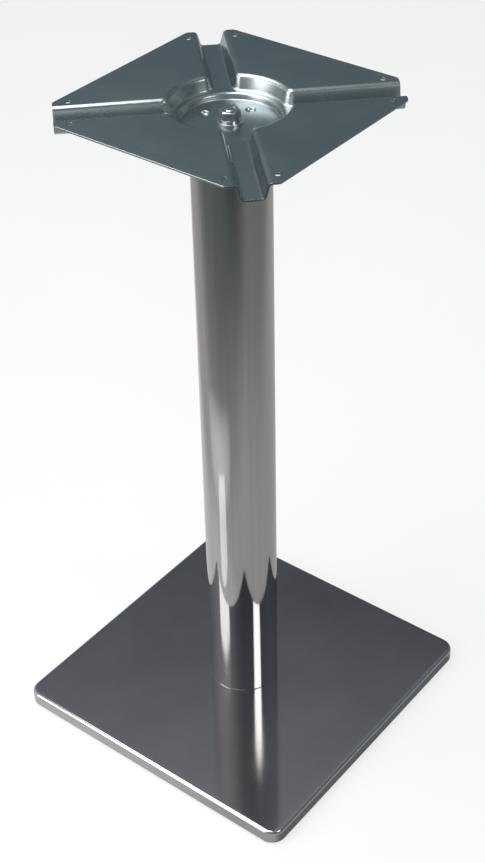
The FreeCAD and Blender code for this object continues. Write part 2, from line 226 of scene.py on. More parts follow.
def startFinish(name):
    finish = bpy.data.materials.new(name)
    finish.use_nodes = True
    tree = finish.node_tree
    shader = tree.nodes["Principled BSDF"]
    place = tree.nodes.new("ShaderNodeTexCoord")
    return finish, tree, shader, place.outputs["Object"]


def feed(tree, value, socket):
    # value is another socket or a fixed setting
    if isinstance(value, bpy.types.NodeSocket):
        tree.links.new(value, socket)
    else:
        socket.default_value = value


def stretch(tree, place, scale):
    mapping = tree.nodes.new("ShaderNodeMapping")
    feed(tree, scale, mapping.inputs["Scale"])
    feed(tree, place, mapping.inputs["Vector"])
    return mapping.outputs["Vector"]


def noise(tree, place, scale, detail, roughness):
    # three scales stretch the pattern along the axes
    if isinstance(scale, tuple):
        place, scale = stretch(tree, place, scale), 1
    texture = tree.nodes.new("ShaderNodeTexNoise")
    feed(tree, scale, texture.inputs["Scale"])
    feed(tree, detail, texture.inputs["Detail"])
    feed(tree, roughness, texture.inputs["Roughness"])
    feed(tree, place, texture.inputs["Vector"])
    return texture.outputs["Fac"]


def spread(tree, value, low, high, fromLow=0.3, fromHigh=0.7):
    remap = tree.nodes.new("ShaderNodeMapRange")
    feed(tree, fromLow, remap.inputs["From Min"])
    feed(tree, fromHigh, remap.inputs["From Max"])
    feed(tree, low, remap.inputs["To Min"])
    feed(tree, high, remap.inputs["To Max"])
    feed(tree, value, remap.inputs["Value"])
    return remap.outputs["Result"]


def tint(tree, value, *stops):
    ramp = tree.nodes.new("ShaderNodeValToRGB")
    elements = ramp.color_ramp.elements
    for element, (position, colour) in zip(elements, (stops[0], stops[-1])):
        element.position = position
        element.color = (*colour, 1)
    for position, colour in stops[1:-1]:
        elements.new(position).color = (*colour, 1)
    feed(tree, value, ramp.inputs["Fac"])
    return ramp.outputs["Color"]


def bump(tree, height, depth, strength, below=None):
    node = tree.nodes.new("ShaderNodeBump")
    feed(tree, depth, node.inputs["Distance"])
    feed(tree, strength, node.inputs["Strength"])
    feed(tree, height, node.inputs["Height"])
    if below:
        feed(tree, below, node.inputs["Normal"])
    return node.outputs["Normal"]


polishedTube = {
    "lines": ((420, 420, 1.5), 4, 0.6), "lineRelief": (0.00002, 0.25),
    "bands": ((150, 150, 0.7), 3, 0.6), "smudges": (9, 5, 0.6),
    "colours": ((0.3, (0.405, 0.40, 0.395)), (0.7, (0.46, 0.455, 0.45))), "rough": (0.045, 0.095),
}


def makePolishedTube(kit):
    finish, tree, shader, place = startFinish("polishedTube")
    lines = noise(tree, place, *kit["lines"])
    bands = noise(tree, place, *kit["bands"])
    smudges = noise(tree, place, *kit["smudges"])
    feed(tree, tint(tree, bands, *kit["colours"]), shader.inputs["Base Color"])
    feed(tree, spread(tree, smudges, *kit["rough"]), shader.inputs["Roughness"])
    feed(tree, bump(tree, lines, *kit["lineRelief"]), shader.inputs["Normal"])
    shader.inputs["Metallic"].default_value = 1
    return finish


polishedCover = {
    "haze": (14, 6, 0.6), "waves": (7, 1, 0.4), "waveRelief": (0.0012, 0.22),
    "hairs": ((900, 25, 25), 3, 0.6), "hairRelief": (0.00002, 0.05),
    "colours": ((0.3, (0.42, 0.42, 0.435)), (0.7, (0.48, 0.48, 0.49))), "rough": (0.05, 0.10),
}


def makePolishedCover(kit):
    finish, tree, shader, place = startFinish("polishedCover")
    haze = noise(tree, place, *kit["haze"])
    waves = noise(tree, place, *kit["waves"])
    hairs = noise(tree, place, *kit["hairs"])
    sheetWave = bump(tree, waves, *kit["waveRelief"])
    feed(tree, tint(tree, haze, *kit["colours"]), shader.inputs["Base Color"])
    feed(tree, spread(tree, haze, *kit["rough"]), shader.inputs["Roughness"])
    feed(tree, bump(tree, hairs, *kit["hairRelief"], sheetWave), shader.inputs["Normal"])
    shader.inputs["Metallic"].default_value = 1
    return finish


zincSheet = {
    "clouds": (11, 5, 0.55), "grain": (900, 2, 0.5), "relief": (0.00004, 0.08),
    "colours": ((0.3, (0.335, 0.38, 0.385)), (0.5, (0.36, 0.405, 0.41)), (0.72, (0.39, 0.435, 0.44))),
    "rough": (0.24, 0.29), "metallic": 1, "specular": 0.5,
}
brightZinc = {
    "clouds": (180, 4, 0.6), "grain": (2400, 2, 0.5), "relief": (0.00003, 0.25),
    "colours": ((0.3, (0.44, 0.46, 0.47)), (0.7, (0.58, 0.60, 0.61))),
    "rough": (0.13, 0.22), "metallic": 1, "specular": 0.5,
}
paintedIron = {
    "clouds": (30, 6, 0.65), "grain": (260, 5, 0.6), "relief": (0.0006, 0.5),
    "colours": ((0.3, (0.028, 0.028, 0.03)), (0.7, (0.065, 0.065, 0.068))),
    "rough": (0.5, 0.75), "metallic": 0, "specular": 0.4,
}
blackNylon = {
    "clouds": (220, 5, 0.6), "grain": (1500, 2, 0.5), "relief": (0.00008, 0.3),
    "colours": ((0.35, (0.018, 0.018, 0.019)), (0.75, (0.042, 0.042, 0.044))),
    "rough": (0.42, 0.62), "metallic": 0, "specular": 0.45,
}


def makeCloudyFinish(name, kit):
    # clouds change colour and shine together over a fine grain
    finish, tree, shader, place = startFinish(name)
    clouds = noise(tree, place, *kit["clouds"])
    grain = noise(tree, place, *kit["grain"])
    feed(tree, tint(tree, clouds, *kit["colours"]), shader.inputs["Base Color"])
    feed(tree, spread(tree, clouds, *kit["rough"]), shader.inputs["Roughness"])
    feed(tree, bump(tree, grain, *kit["relief"]), shader.inputs["Normal"])
    shader.inputs["Metallic"].default_value = kit["metallic"]
    shader.inputs["Specular IOR Level"].default_value = kit["specular"]
    return finish


tubeFinish = makePolishedTube(polishedTube)
coverFinish = makePolishedCover(polishedCover)
sheetFinish = makeCloudyFinish("zincSheet", zincSheet)
fastenerFinish = makeCloudyFinish("brightZinc", brightZinc)
ironFinish = makeCloudyFinish("paintedIron", paintedIron)
nylonFinish = makeCloudyFinish("blackNylon", blackNylon)
print("finishes ready")


# Pressed top plate: four wings above a cross of channels and a stepped round recess

plateKit = {
    "level": 720, "sheet": 2, "side": 253, "reach": 156, "tipRadius": 6, "tipSteps": 6,
    "channelWidth": 26, "channelDepth": 14, "draft": 16, "shoulderRadius": 5, "footRadius": 3,
    "recessRadius": 56, "mouthRadius": 6, "mouthSteps": 12, "recessSteps": 28,
    "seatRadius": 47, "seatDepth": 20, "seatRimRadius": 3.2, "seatFootRadius": 1.2, "seatSteps": 128,
    "dimpleRadius": 5, "dimpleDepth": 2.5, "dimpleDraft": 30, "dimplePlace": 29.545, "dimpleSteps": 32,
    "dimpleRim": 0.9, "dimpleFoot": 1.1, "holeRadius": 2.75, "holeInset": 10.5, "holeSpacing": 169,
    "holeSteps": 24, "rodHoleRadius": 5.5, "rodHoleSteps": 48, "bendSteps": 9, "smallBendSteps": 6,
    "margin": 0.1, "rimBevel": 0.3, "wings": 4,
}


def stepProfile(drop, draft, upperRadius, lowerRadius, margin, steps):
    # (run, height) down a pressed step, from the upper flat to the lower one
    turn = math.radians(90 - draft)
    upper = upperRadius * math.tan(turn / 2)
    lower = lowerRadius * math.tan(turn / 2)
    run = drop * math.tan(math.radians(draft))
    points = [(-upper - margin, 0)]
    for step in range(steps + 1):
        angle = turn * step / steps
        points.append((-upper + upperRadius * math.sin(angle), upperRadius * (math.cos(angle) - 1)))
    for step in range(steps + 1):
        angle = turn * (1 - step / steps)
        rise = lowerRadius * (1 - math.cos(angle))
        points.append((run + lower - lowerRadius * math.sin(angle), -drop + rise))
    points.append((run + lower + margin, -drop))
    return points


def channelProfile(kit):
    return stepProfile(kit["channelDepth"], kit["draft"], kit["shoulderRadius"], kit["footRadius"],
                       kit["margin"], kit["bendSteps"])


def atHeight(edge, height):
    return all(abs(vertex.co.z - mm(height)) < tiny for vertex in edge.verts)


def onCut(edge, kit):
    # the short edges that close the end of a channel
    place = mm(kit["reach"]) * math.sqrt(2)
    return all(abs(abs(vertex.co.x) + abs(vertex.co.y) - place) < near for vertex in edge.verts)


def fillFlat(piece, kit, height):
    pick(piece, "edges", lambda edge: atHeight(edge, height) and len(edge.link_faces) < 2
         and not (edge.link_faces and onCut(edge, kit)))
    bpy.ops.mesh.fill(use_beauty=True)


def addHole(radius, steps, place):
    bpy.ops.mesh.primitive_circle_add(vertices=steps, radius=mm(radius), location=place)


def makeWing(kit):
    level, gap = kit["level"], kit["channelWidth"] / 2
    ring, mouth = kit["recessRadius"], kit["mouthRadius"]
    outwards = Vector((math.cos(diagonal), math.sin(diagonal), 0))
    across = Vector((-math.sin(diagonal), math.cos(diagonal), 0))
    inner = math.sqrt((ring + mouth) ** 2 - (gap + mouth) ** 2)
    slant = diagonal - math.atan2(gap + mouth, inner)
    mouthCentre = mm(outwards * inner - across * (gap + mouth))
    otherCentre = Vector((mouthCentre.x, -mouthCentre.y, 0))
    points = []
    for run, height in channelProfile(kit):
        place = outwards * kit["reach"] + across * (run - gap) + Vector((0, 0, level + height))
        points.append(mm(place))
    # one channel side, round the mouth, along the recess and out by the next channel
    wing = drawLine("topPlate", points)
    selectAll()
    length = mm(kit["reach"] - inner)
    pullEdges(-outwards * length)
    turn = math.pi + slant - 3 * diagonal
    spinAbout(mouthCentre, turn, kit["mouthSteps"])
    spinAbout(origin, -2 * slant, kit["recessSteps"])
    spinAbout(otherCentre, turn, kit["mouthSteps"])
    pullEdges(Vector((outwards.x, -outwards.y, 0)) * length)
    # the outside edge of the wing, drawn on from the first corner of the bend
    half = kit["side"] / 2
    corner = kit["reach"] * math.sqrt(2) - half
    tip, pull = kit["tipRadius"], kit["tipRadius"] * math.tan(diagonal / 2)
    outside = arcPoints((half - tip, corner - pull), tip, 45, 0, kit["tipSteps"])
    outside += arcPoints((half - tip, pull - corner), tip, 0, -45, kit["tipSteps"])
    start = Vector(points[0])
    route = [start] + [Vector(mm(x, y, level)) for x, y in outside]
    route.append(Vector((start.x, -start.y, start.z)))
    pick(wing, "verts", lambda vertex: (vertex.co - start).length < tiny)
    for here, there in zip(route, route[1:]):
        pullVertex(there - here)
    weld()
    for side in (1, -1):
        place = mm(half - kit["holeInset"], side * kit["holeSpacing"] / 2, level)
        addHole(kit["holeRadius"], kit["holeSteps"], place)
    fillFlat(wing, kit, level)
    copyRound(kit["wings"])
    return wing


def makeSeat(kit):
    profile = stepProfile(kit["seatDepth"] - kit["channelDepth"], kit["draft"], kit["seatRimRadius"],
                          kit["seatFootRadius"], kit["margin"], kit["smallBendSteps"])
    level = kit["level"] - kit["channelDepth"]
    seat = drawLine("seatStep", [mm(kit["seatRadius"] - run, 0, level + height) for run, height in profile])
    selectAll()
    spinAbout(origin, fullTurn, kit["seatSteps"])
    weld()
    leaveEdit()
    return seat


def makeDimples(kit):
    profile = stepProfile(kit["dimpleDepth"], kit["dimpleDraft"], kit["dimpleRim"], kit["dimpleFoot"],
                          kit["margin"], kit["smallBendSteps"])
    level, place = kit["level"] - kit["seatDepth"], kit["dimplePlace"]
    points = [mm(place + kit["dimpleRadius"] - run, 0, level + height) for run, height in profile]
    points.append(mm(place, 0, level - kit["dimpleDepth"]))
    dimples = drawLine("dimples", points)
    selectAll()
    spinAbout(mm(place, 0, 0), fullTurn, kit["dimpleSteps"])
    weld()
    copyRound(kit["wings"])
    leaveEdit()
    return dimples


def makeTopPlate(kit):
    wing = makeWing(kit)
    plate = joinPieces(wing, makeSeat(kit), makeDimples(kit))
    edit(plate)
    channelFloor = kit["level"] - kit["channelDepth"]
    floorSide = max(run for run, height in channelProfile(kit))
    halfFloor = mm(kit["channelWidth"] / 2 - floorSide)
    for channel in range(kit["wings"]):
        turn = Matrix.Rotation(diagonal + channel * math.pi / 2, 3, "Z")
        middle = turn @ Vector(mm(kit["reach"], 0, 0))
        middle.z = mm(channelFloor)
        pick(plate, "verts", lambda vertex: abs((vertex.co - middle).length - halfFloor) < tiny
             and abs(vertex.co.z - middle.z) < tiny)
        bpy.ops.mesh.edge_face_add()
    fillFlat(plate, kit, channelFloor)
    seatFloor = kit["level"] - kit["seatDepth"]
    addHole(kit["rodHoleRadius"], kit["rodHoleSteps"], mm(0, 0, seatFloor))
    fillFlat(plate, kit, seatFloor)
    closeUp()
    if sum(face.normal.z * face.calc_area() for face in bmesh.from_edit_mesh(plate.data).faces) < 0:
        bpy.ops.mesh.flip_normals()
    leaveEdit()
    thicken(plate, kit["sheet"])
    easeEdges(plate, kit["rimBevel"])
    smoothShade(plate)
    hand(plate, "leg", "top_plate", sheetFinish)
    print("top plate pressed:", len(plate.data.polygons), "faces")


makeTopPlate(plateKit)


# Column: a polished tube with its ends eased

columnKit = {"bottom": 18, "top": 698, "radius": 38, "wall": 2, "steps": 256, "edgeRadius": 1, "edgeSteps": 5}


def addCylinder(radius, bottom, top, steps, x=0, y=0, ends="NGON"):
    clearSelection()
    height = top - bottom
    bpy.ops.mesh.primitive_cylinder_add(vertices=steps, radius=mm(radius), depth=mm(height),
                                        end_fill_type=ends, location=mm(x, y, bottom + height / 2))


def makeColumn(kit):
    addCylinder(kit["radius"], kit["bottom"], kit["top"], kit["steps"], ends="NOTHING")
    column = keepPrimitive("columnTube")
    thicken(column, kit["wall"])
    edit(column)
    closeUp()
    ends = (mm(kit["bottom"]), mm(kit["top"]))
    outer = mm(kit["radius"] - kit["wall"] / 2)
    pick(column, "edges", lambda edge: all(
        math.hypot(vertex.co.x, vertex.co.y) > outer and min(abs(vertex.co.z - end) for end in ends) < tiny
        for vertex in edge.verts))
    bpy.ops.mesh.bevel(offset=mm(kit["edgeRadius"]), segments=kit["edgeSteps"])
    leaveEdit()
    smoothShade(column)
    hand(column, "leg", "column_tube", tubeFinish)
    print("column drawn:", len(column.data.polygons), "faces")


makeColumn(columnKit)


# Base cover: a shallow square tray of polished sheet, open underneath

coverKit = {"side": 350, "bottom": 3, "height": 15, "sheet": 1, "cornerRadius": 16, "cornerSteps": 14,
            "edgeRadius": 4, "edgeSteps": 8, "holeRadius": 5.5, "holeSteps": 48}


def holeCutter(radius, bottom, top, steps, x=0, y=0):
    addCylinder(radius, bottom, top, steps, x, y)
    return keepPrimitive("cutter")


def squareBlock(name, bottom, height, kit):
    clearSelection()
    size = mm(kit["side"], kit["side"], height)
    bpy.ops.mesh.primitive_cube_add(size=1, location=mm(0, 0, bottom + height / 2), scale=size)
    block = keepPrimitive(name)
    edit(block)
    pick(block, "edges", lambda edge: abs(edge.verts[0].co.z - edge.verts[1].co.z) > tiny)
    bpy.ops.mesh.bevel(offset=mm(kit["cornerRadius"]), segments=kit["cornerSteps"])
    return block


def bevelTop(block, top, width, steps):
    pick(block, "edges", lambda edge: atHeight(edge, top))
    bpy.ops.mesh.bevel(offset=mm(width), segments=steps, clamp_overlap=False)


def makeCover(kit):
    top = kit["bottom"] + kit["height"]
    cover = squareBlock("baseCover", kit["bottom"], kit["height"], kit)
    bevelTop(cover, top, kit["edgeRadius"], kit["edgeSteps"])
    pick(cover, "faces", lambda face: face.normal.z < -straight)
    bpy.ops.mesh.delete(type="FACE")
    closeUp()
    # a narrow flat border keeps the rounded edge's shading off the wide top
    pick(cover, "faces", lambda face: face.normal.z > straight)
    bpy.ops.mesh.inset(thickness=mm(kit["edgeRadius"]))
    leaveEdit()
    thicken(cover, kit["sheet"])
    carve(cover, holeCutter(kit["holeRadius"], 0, top + kit["height"], kit["holeSteps"]))
    smoothShade(cover)
    hand(cover, "leg", "base_cover", coverFinish)
    print("base cover folded:", len(cover.data.polygons), "faces")


makeCover(coverKit)


# Ballast slab with its holes, seen from underneath

ballastKit = {"side": 345, "bottom": 7, "thickness": 10, "cornerRadius": 13.5, "cornerSteps": 8,
              "chamfer": 3, "chamferSteps": 1, "rodHole": 5.5, "counterbore": 18, "counterboreDepth": 4,
              "studHole": 4.08, "studPlace": 130, "steps": 48, "overcut": 2, "easeWidth": 0.5}


def makeBallast(kit):
    bottom, top = kit["bottom"], kit["bottom"] + kit["thickness"]
    slab = squareBlock("ballastPlate", bottom, kit["thickness"], kit)
    bevelTop(slab, top, kit["chamfer"], kit["chamferSteps"])
    leaveEdit()
    low, high = bottom - kit["overcut"], top + kit["overcut"]
    carve(slab, holeCutter(kit["rodHole"], low, high, kit["steps"]))
    carve(slab, holeCutter(kit["counterbore"], low, bottom + kit["counterboreDepth"], kit["steps"]))
    for x in (-kit["studPlace"], kit["studPlace"]):
        for y in (-kit["studPlace"], kit["studPlace"]):
            carve(slab, holeCutter(kit["studHole"], low, high, kit["steps"], x, y))
    easeEdges(slab, kit["easeWidth"])
    smoothShade(slab)
    hand(slab, "leg", "ballast_plate", ironFinish)
    print("ballast cast")


makeBallast(ballastKit)


# Nuts, washers and the rod that pulls the leg together; places are (name, node, bottom, height)

nutKit = {"places": (("topNut", "top_nut", 704.2, 8), ("baseClampNut", "base_clamp_nut", 26, 8),
                     ("bottomNut", "bottom_nut", 4, 5)),
          "sides": 6, "flats": 17, "bore": 5.05, "land": 8, "chamferAngle": 30, "sink": 0.75, "overcut": 2,
          "steps": 96, "easeWidth": 0.12, "sharpAngle": 24}


def makeNut(name, node, bottom, height, kit):
    corner = kit["flats"] / math.sqrt(3)
    over, top = kit["overcut"], bottom + height
    addCylinder(corner, bottom, top, kit["sides"])
    nut = keepPrimitive(name)
    wide = corner + over
    fall = (wide - kit["land"]) * math.tan(math.radians(kit["chamferAngle"]))
    barrel = turned("barrel", [(0, bottom), (kit["land"], bottom), (wide, bottom + fall), (wide, top - fall),
                               (kit["land"], top), (0, top)], kit["steps"], closed=False)
    carve(nut, barrel, "INTERSECT")
    bore, sink = kit["bore"], kit["sink"]
    mouth = bore + sink + over
    drill = turned("drill", [(0, bottom - over), (mouth, bottom - over), (bore, bottom + sink),
                             (bore, top - sink), (mouth, top + over), (0, top + over)],
                   kit["steps"], closed=False)
    carve(nut, drill)
    easeEdges(nut, kit["easeWidth"], kit["sharpAngle"])
    smoothShade(nut, kit["sharpAngle"])
    hand(nut, "leg", node, fastenerFinish)


washerKit = {"places": (("topFlatWasher", "top_flat_washer", 700),
                        ("baseClampWasher", "base_clamp_washer", 24), ("bottomWasher", "bottom_washer", 9)),
             "inner": 5.5, "outer": 12, "thickness": 2, "edge": 0.35, "edgeSteps": 3, "steps": 96}


def roundedSection(name, bottom, kit):
    # upright rectangle with eased corners, ready to be spun
    inner, outer, thickness = kit["inner"], kit["outer"], kit["thickness"]
    clearSelection()
    bpy.ops.mesh.primitive_plane_add(size=1, location=mm((inner + outer) / 2, 0, bottom + thickness / 2),
                                     rotation=(math.pi / 2, 0, 0))
    bpy.context.object.scale = (mm(outer - inner), mm(thickness), 1)
    section = keepPrimitive(name)
    edit(section)
    selectAll()
    bpy.ops.mesh.bevel(offset=mm(kit["edge"]), segments=kit["edgeSteps"], affect="VERTICES")
    selectAll()
    bpy.ops.mesh.delete(type="ONLY_FACE")
    selectAll()
    return section


def makeWasher(name, node, bottom, kit):
    ring = roundedSection(name, bottom, kit)
    spinAbout(origin, fullTurn, kit["steps"])
    closeUp()
    leaveEdit()
    smoothShade(ring)
    hand(ring, "leg", node, fastenerFinish)


springKit = {"bottom": 702, "inner": 5.5, "outer": 9, "thickness": 2.2, "split": 1.2, "edge": 0.25,
             "edgeSteps": 3, "steps": 90}


def makeSpringWasher(kit):
    ring = roundedSection("topSpringWasher", kit["bottom"], kit)
    gap = kit["split"] / 2 / ((kit["inner"] + kit["outer"]) / 2)
    bpy.ops.transform.rotate(value=-gap, orient_axis="Z", center_override=origin)
    spinAbout(origin, fullTurn - 2 * gap, kit["steps"])
    for side in (1, -1):
        pick(ring, "edges", lambda edge: len(edge.link_faces) == 1 and side * edge.verts[0].co.y > 0)
        bpy.ops.mesh.edge_face_add()
    closeUp()
    leaveEdit()
    smoothShade(ring)
    hand(ring, "leg", "top_spring_washer", fastenerFinish)


threadKit = {"flat": 0.125, "turnsBelow": 2, "spareTurns": 3, "barrelSteps": 48, "sharpAngle": 26}


def makeThread(name, bottom, top, size, kit):
    # one turn of the thread's section, screwed up past both ends and cut to length
    major, minor, pitch = size["major"], size["minor"], size["pitch"]
    flat, middle = pitch * kit["flat"], pitch / 2
    section = [(minor, 0), (minor, flat), (major, middle), (major, middle + flat), (minor, pitch)]
    start = bottom - kit["turnsBelow"] * pitch
    thread = drawLine(name, [mm(radius, 0, start + height) for radius, height in section])
    leaveEdit()
    turns = math.ceil((top - bottom) / pitch) + kit["spareTurns"]
    applyModifier(thread, "SCREW", axis="Z", angle=fullTurn, screw_offset=mm(pitch), iterations=turns,
                  steps=size["steps"], render_steps=size["steps"], use_merge_vertices=True,
                  merge_threshold=tiny)
    edit(thread)
    closeUp()
    for height, normal in ((bottom, downAxis), (top, upAxis)):
        selectAll()
        bpy.ops.mesh.bisect(plane_co=mm(0, 0, height), plane_no=normal, clear_outer=True, use_fill=True)
    closeUp()
    leaveEdit()
    chamfer = size["chamfer"]
    wide, narrow = major + chamfer, major - 2 * chamfer
    barrel = turned("barrel", [(0, bottom - chamfer), (narrow, bottom - chamfer),
                               (wide, bottom + 2 * chamfer), (wide, top - 2 * chamfer),
                               (narrow, top + chamfer), (0, top + chamfer)],
                    kit["barrelSteps"], closed=False)
    carve(thread, barrel, "INTERSECT")
    return thread


rodKit = {"bottom": 4.5, "top": 713, "threaded": 42, "shank": 4.5, "shankSteps": 40, "overlap": 1,
          "thread": {"major": 5, "minor": 4.08, "pitch": 1.5, "chamfer": 0.8, "steps": 40}}


def makeRod(kit):
    lowEnd, highEnd = kit["bottom"] + kit["threaded"], kit["top"] - kit["threaded"]
    rod = makeThread("tieRod", kit["bottom"], lowEnd, kit["thread"], threadKit)
    upper = makeThread("upperThread", highEnd, kit["top"], kit["thread"], threadKit)
    shank = holeCutter(kit["shank"], lowEnd - kit["overlap"], highEnd + kit["overlap"], kit["shankSteps"])
    carve(rod, shank, "UNION")
    carve(rod, upper, "UNION")
    smoothShade(rod, threadKit["sharpAngle"])
    hand(rod, "leg", "tie_rod", fastenerFinish)


discKit = {"bottom": 18, "thickness": 6, "inner": 5.5, "outer": 35.85, "lead": 1.5, "steps": 128}


def makeDisc(kit):
    top = kit["bottom"] + kit["thickness"]
    disc = turned("centringDisc", [(kit["inner"], kit["bottom"]), (kit["outer"], kit["bottom"]),
                                   (kit["outer"], top - kit["lead"]), (kit["outer"] - kit["lead"], top),
                                   (kit["inner"], top)], kit["steps"])
    smoothShade(disc)
    hand(disc, "leg", "centring_disc", fastenerFinish)


for nutPlace in nutKit["places"]:
    makeNut(*nutPlace, nutKit)
for washerPlace in washerKit["places"]:
    makeWasher(*washerPlace, washerKit)
makeSpringWasher(springKit)
makeRod(rodKit)
makeDisc(discKit)
print("fasteners made")


# Levelling feet: a moulded glide on a threaded stud, one under each corner

footKit = {"place": 130, "corners": ((-1, -1), (1, -1), (1, 1), (-1, 1)), "radius": 14, "height": 7,
           "edge": 2, "edgeSteps": 6, "dish": 0.6, "dishRadius": 8.5, "socket": 4.08, "socketFloor": 2,
           "topEase": 0.6, "steps": 72, "gripEvery": 4, "gripDepth": 0.5, "gripLow": 2.2, "gripHigh": 6.2,
           "studTop": 16.4,
           "thread": {"major": 4, "minor": 3.3, "pitch": 1.25, "chamfer": 0.5, "steps": 32}}


def moveTo(piece, x, y):
    activate(piece)
    piece.location = mm(x, y, 0)
    applyTransform()


def makeGlide(name, kit):
    radius, edge, dish = kit["radius"], kit["edge"], kit["dish"]
    outline = [(0, dish), (kit["dishRadius"], dish), (kit["dishRadius"] + dish, 0)]
    outline += arcPoints((radius - edge, edge), edge, -90, 0, kit["edgeSteps"])
    outline += [(radius, kit["gripHigh"]), (radius, kit["height"] - kit["topEase"]),
                (radius - kit["topEase"], kit["height"]), (kit["socket"], kit["height"]),
                (kit["socket"], kit["socketFloor"]), (0, kit["socketFloor"])]
    glide = turned(name, outline, kit["steps"], closed=False)
    edit(glide)

    def isGrip(face):
        middle = face.calc_center_median()
        if not mm(kit["gripLow"]) < middle.z < mm(kit["gripHigh"]):
            return False
        if math.hypot(middle.x, middle.y) < mm(radius - edge / 2):
            return False
        sector = int(math.atan2(middle.y, middle.x) / fullTurn * kit["steps"] + kit["steps"])
        return sector % kit["gripEvery"] == 0

    pick(glide, "faces", isGrip)
    bpy.ops.mesh.extrude_region_shrink_fatten(TRANSFORM_OT_shrink_fatten={"value": -mm(kit["gripDepth"])})
    leaveEdit()
    return glide


def makeFeet(kit):
    for number, (xSide, ySide) in enumerate(kit["corners"], start=1):
        body = "foot_%d" % number
        x, y = xSide * kit["place"], ySide * kit["place"]
        glide = makeGlide("footGlide%d" % number, kit)
        moveTo(glide, x, y)
        smoothShade(glide)
        hand(glide, body, "foot_glide_%d" % number, nylonFinish)
        stud = makeThread("footStud%d" % number, kit["socketFloor"], kit["studTop"], kit["thread"], threadKit)
        moveTo(stud, x, y)
        smoothShade(stud, threadKit["sharpAngle"])
        hand(stud, body, "foot_stud_%d" % number, fastenerFinish)
    print("feet made")


makeFeet(footKit)


# Stage: pale floor, soft lamps, dim sky and the camera

black = (0, 0, 0)
eastWay = (1, 0, 0)
westWay = (-1, 0, 0)
southWay = (0, -1, 0)


def vectors(tree, operation, first, second):
    node = tree.nodes.new("ShaderNodeVectorMath")
    node.operation = operation
    feed(tree, first, node.inputs[0])
    feed(tree, second, node.inputs[1])
    return node.outputs["Value" if operation == "DOT_PRODUCT" else "Vector"]


def along(tree, place, direction):
    return vectors(tree, "DOT_PRODUCT", place, direction)


def sums(tree, operation, *values):
    node = tree.nodes.new("ShaderNodeMath")
    node.operation = operation
    for value, socket in zip(values, node.inputs):
        feed(tree, value, socket)
    return node.outputs["Value"]


def distance(tree, first, second):
    square = sums(tree, "ADD", sums(tree, "POWER", first, 2), sums(tree, "POWER", second, 2))
    return sums(tree, "SQRT", square)


def outsideOf(tree, first, second):
    # how far a spot lies past two limits, where negative means inside
    return distance(tree, sums(tree, "MAXIMUM", first, 0), sums(tree, "MAXIMUM", second, 0))


def graded(tree, metres, reach, stops):
    # colours set out along a distance in metres
    share = spread(tree, metres, 0, 1, 0, reach)
    return tint(tree, share, *[(stop / reach, colour) for stop, colour in stops])


def blended(tree, kind, first, second, share=1):
    blend = tree.nodes.new("ShaderNodeMix")
    blend.data_type = "RGBA"
    blend.blend_type = kind
    for value, name in ((share, "Factor"), (first, "A"), (second, "B")):
        feed(tree, value, blend.inputs[name])
    return blend.outputs["Result"]


def seenDirectly(tree, colour, plain):
    # one plain colour for the camera, the shaded one for mirrors and bounced light
    direct = tree.nodes.new("ShaderNodeLightPath").outputs["Is Camera Ray"]
    return blended(tree, "MIX", colour, (*plain, 1), direct)


# the graded colours and the fade are painted shade around the white paper
sheetAndPaintedFadeKit = {"front": (0.623, -0.782, 0), "side": (0.782, 0.623, 0), "shift": 0.02, "half": 0.18,
            "flare": 0.12, "reach": 1.5, "fadeStart": 0.25,
            "colours": ((0.0, (1, 1, 1)), (0.10, (1, 1, 1)), (0.20, (0.82, 0.815, 0.81)),
                        (0.27, (0.66, 0.65, 0.645)), (0.34, (0.5, 0.49, 0.485)), (0.45, black)),
            "fade": ((0.0, (0.82, 0.80, 0.79)), (0.20, (0.80, 0.78, 0.77)), (0.30, (0.5, 0.5, 0.5)),
                     (0.40, (0.3, 0.3, 0.3)))}


def whiteSheetAndPaintedFade(tree, place, kit):
    # white under the leg as the paper is, widening to the back; painted shade fades it in front of the leg
    # and to its right
    front = along(tree, place, kit["front"])
    aside = sums(tree, "ADD", along(tree, place, kit["side"]), kit["shift"])
    halfWidth = sums(tree, "MULTIPLY_ADD", sums(tree, "ABSOLUTE", front), kit["flare"], kit["half"])
    beyond = sums(tree, "SUBTRACT", sums(tree, "ABSOLUTE", aside), halfWidth)
    white = graded(tree, outsideOf(tree, beyond, front), kit["reach"], kit["colours"])
    # painted shade, darker to the right of the leg
    fade = graded(tree, sums(tree, "ADD", aside, kit["fadeStart"]), kit["reach"], kit["fade"])
    return blended(tree, "MULTIPLY", white, fade)


# painted shade: the floor grows darker to the south and to the east of the leg
falloffShadeKit = {"reach": 1.5,
             "south": ((0.0, (0.58, 0.57, 0.565)), (0.30, (0.58, 0.565, 0.56)), (0.45, (0.44, 0.435, 0.43)),
                       (0.60, (0.325, 0.33, 0.325)), (0.75, (0.25, 0.26, 0.255)), (0.90, (0.19, 0.20, 0.20)),
                       (1.10, (0.15, 0.165, 0.17)), (1.50, (0.13, 0.14, 0.145))),
             "east": ((0.0, (1, 1, 1)), (0.25, (1, 1, 1)), (0.37, (0.99, 0.99, 0.985)),
                      (0.56, (0.86, 0.86, 0.85)), (0.78, (0.64, 0.64, 0.63)), (1.0, (0.57, 0.575, 0.57)),
                      (1.50, (0.48, 0.49, 0.485)))}


def paintedFalloffShade(tree, place, kit):
    # painted shade, darker away to the south and to the east
    south = graded(tree, along(tree, place, southWay), kit["reach"], kit["south"])
    east = graded(tree, along(tree, place, eastWay), kit["reach"], kit["east"])
    return blended(tree, "MULTIPLY", south, east)


poolKit = {"place": (-0.20, -0.42, 0), "way": (-0.958, 0.287, 0), "across": (0.287, 0.958, 0),
           "length": 0.52, "width": 0.21,
           "colours": ((0.0, (1, 0.96, 0.97)), (0.27, (0.95, 0.915, 0.92)), (0.5, (0.72, 0.70, 0.70)),
                       (0.77, (0.3, 0.3, 0.3)), (1.0, black))}


